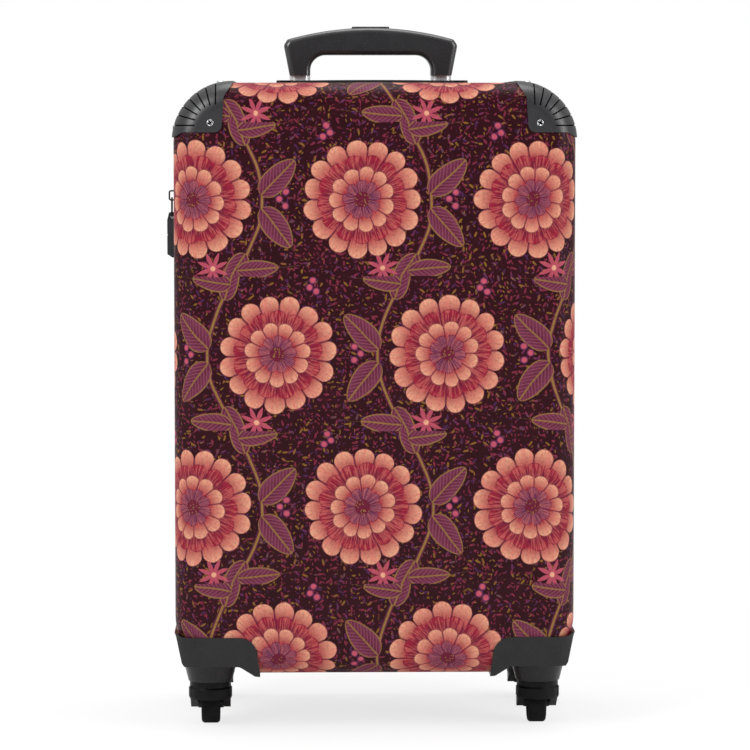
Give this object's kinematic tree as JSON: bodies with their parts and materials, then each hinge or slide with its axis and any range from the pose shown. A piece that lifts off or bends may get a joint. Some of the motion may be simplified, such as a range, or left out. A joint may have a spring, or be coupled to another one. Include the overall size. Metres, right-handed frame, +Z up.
{
  "type": "cabin suitcase",
  "caption": "Hard-shell cabin suitcase with a printed shell, zipped clamshell halves, telescopic handle, corner guards and swivelling wheels.",
  "frame": {"origin": "on the floor below the middle of the case", "axes": "+Z up, -Y out of the printed front, +X to the right of a viewer who faces the front"},
  "size_m": [0.3608, 0.224, 0.6204],
  "materials": {
    "printed_shell": "smooth printed hard shell",
    "black_plastic": "satin moulded plastic",
    "grip_plastic": "satin soft-touch plastic",
    "tube": "satin anodised",
    "steel": "bright zinc plated",
    "dark_metal": "dark painted",
    "tyre": "moulded tyre",
    "pull_rubber": "moulded pull",
    "tape": "woven tape",
    "lining": "thin woven lining",
    "strap": "elastic webbing"
  },
  "bodies": {
    "rear_half": {"rear_shell": "printed_shell", "rear_lining": "lining", "rear_zip_tape": "tape", "rear_guard_left": "black_plastic", "rear_guard_right": "black_plastic", "rear_wheel_housing_left": "black_plastic", "rear_wheel_housing_right": "black_plastic", "rear_screws": "steel", "handle_bezel": "black_plastic", "outer_tube_left": "tube", "outer_tube_right": "tube", "tube_bracket": "black_plastic", "carry_handle": "grip_plastic", "carry_handle_ends": "grip_plastic", "hinge_gusset": "tape", "packing_straps": "strap", "strap_buckles": "black_plastic"},
    "front_half": {"front_shell": "printed_shell", "front_lining": "lining", "lining_pocket": "lining", "front_zip_tape": "tape", "front_guard_left": "black_plastic", "front_guard_right": "black_plastic", "front_wheel_housing_left": "black_plastic", "front_wheel_housing_right": "black_plastic", "front_screws": "steel"},
    "front_left_caster": {"front_left_fork": "black_plastic", "front_left_stem": "steel", "front_left_axle": "steel"},
    "front_left_wheel": {"front_left_hub": "black_plastic", "front_left_tyre": "tyre"},
    "front_right_caster": {"front_right_fork": "black_plastic", "front_right_stem": "steel", "front_right_axle": "steel"},
    "front_right_wheel": {"front_right_hub": "black_plastic", "front_right_tyre": "tyre"},
    "rear_left_caster": {"rear_left_fork": "black_plastic", "rear_left_stem": "steel", "rear_left_axle": "steel"},
    "rear_left_wheel": {"rear_left_hub": "black_plastic", "rear_left_tyre": "tyre"},
    "rear_right_caster": {"rear_right_fork": "black_plastic", "rear_right_stem": "steel", "rear_right_axle": "steel"},
    "rear_right_wheel": {"rear_right_hub": "black_plastic", "rear_right_tyre": "tyre"},
    "handle_middle_stage": {"middle_tube_left": "tube", "middle_tube_right": "tube", "middle_glides": "black_plastic"},
    "handle_top_stage": {"inner_tube_left": "tube", "inner_tube_right": "tube", "inner_glides": "black_plastic", "grip_shell": "grip_plastic", "grip_cover": "grip_plastic", "button_spring": "steel"},
    "push_button": {"grip_button": "grip_plastic", "lock_rods": "steel"},
    "zip_slider": {"zip_slider": "dark_metal"},
    "pull_link": {"pull_link": "dark_metal"},
    "pull_tab": {"pull_tab": "pull_rubber"}
  },
  "joints": [
    {"name": "case_hinge", "type": "hinge", "parent": "rear_half", "child": "front_half", "pos_m": [0.1786, 0, 0.3095], "axis": [0, 0, 1], "range_deg": [0, 180], "deforming": ["hinge_gusset"]},
    {"name": "front_left_swivel", "type": "hinge", "parent": "front_half", "child": "front_left_caster", "pos_m": [-0.145, -0.067, 0.04], "axis": [0, 0, 1], "continuous": true},
    {"name": "front_left_wheel_spin", "type": "hinge", "parent": "front_left_caster", "child": "front_left_wheel", "pos_m": [-0.145, -0.051, 0.0185], "axis": [1, 0, 0], "continuous": true},
    {"name": "front_right_swivel", "type": "hinge", "parent": "front_half", "child": "front_right_caster", "pos_m": [0.145, -0.067, 0.04], "axis": [0, 0, 1], "continuous": true},
    {"name": "front_right_wheel_spin", "type": "hinge", "parent": "front_right_caster", "child": "front_right_wheel", "pos_m": [0.145, -0.051, 0.0185], "axis": [1, 0, 0], "continuous": true},
    {"name": "rear_left_swivel", "type": "hinge", "parent": "rear_half", "child": "rear_left_caster", "pos_m": [-0.145, 0.067, 0.04], "axis": [0, 0, 1], "continuous": true},
    {"name": "rear_left_wheel_spin", "type": "hinge", "parent": "rear_left_caster", "child": "rear_left_wheel", "pos_m": [-0.145, 0.083, 0.0185], "axis": [1, 0, 0], "continuous": true},
    {"name": "rear_right_swivel", "type": "hinge", "parent": "rear_half", "child": "rear_right_caster", "pos_m": [0.145, 0.067, 0.04], "axis": [0, 0, 1], "continuous": true},
    {"name": "rear_right_wheel_spin", "type": "hinge", "parent": "rear_right_caster", "child": "rear_right_wheel", "pos_m": [0.145, 0.083, 0.0185], "axis": [1, 0, 0], "continuous": true},
    {"name": "handle_lower_slide", "type": "slide", "parent": "rear_half", "child": "handle_middle_stage", "axis": [0, 0, 1], "range_m": [0, 0.22]},
    {"name": "handle_upper_slide", "type": "slide", "parent": "handle_middle_stage", "child": "handle_top_stage", "axis": [0, 0, 1], "range_m": [0, 0.22]},
    {"name": "button_press", "type": "slide", "parent": "handle_top_stage", "child": "push_button", "axis": [0, 0, -1], "range_m": [0, 0.003], "stiffness_N_per_m": 900, "springref_m": -0.002, "deforming": ["button_spring"]},
    {"name": "slider_run", "type": "slide", "parent": "rear_half", "child": "zip_slider", "axis": [0, 0, 1], "range_m": [-0.355, 0.04]},
    {"name": "link_swing", "type": "hinge", "parent": "zip_slider", "child": "pull_link", "pos_m": [-0.1796, 0, 0.4656], "axis": [0, 1, 0], "range_deg": [0, 120]},
    {"name": "tab_swing", "type": "hinge", "parent": "pull_link", "child": "pull_tab", "pos_m": [-0.1796, 0, 0.4486], "axis": [0, 1, 0], "range_deg": [0, 60]}
  ]
}
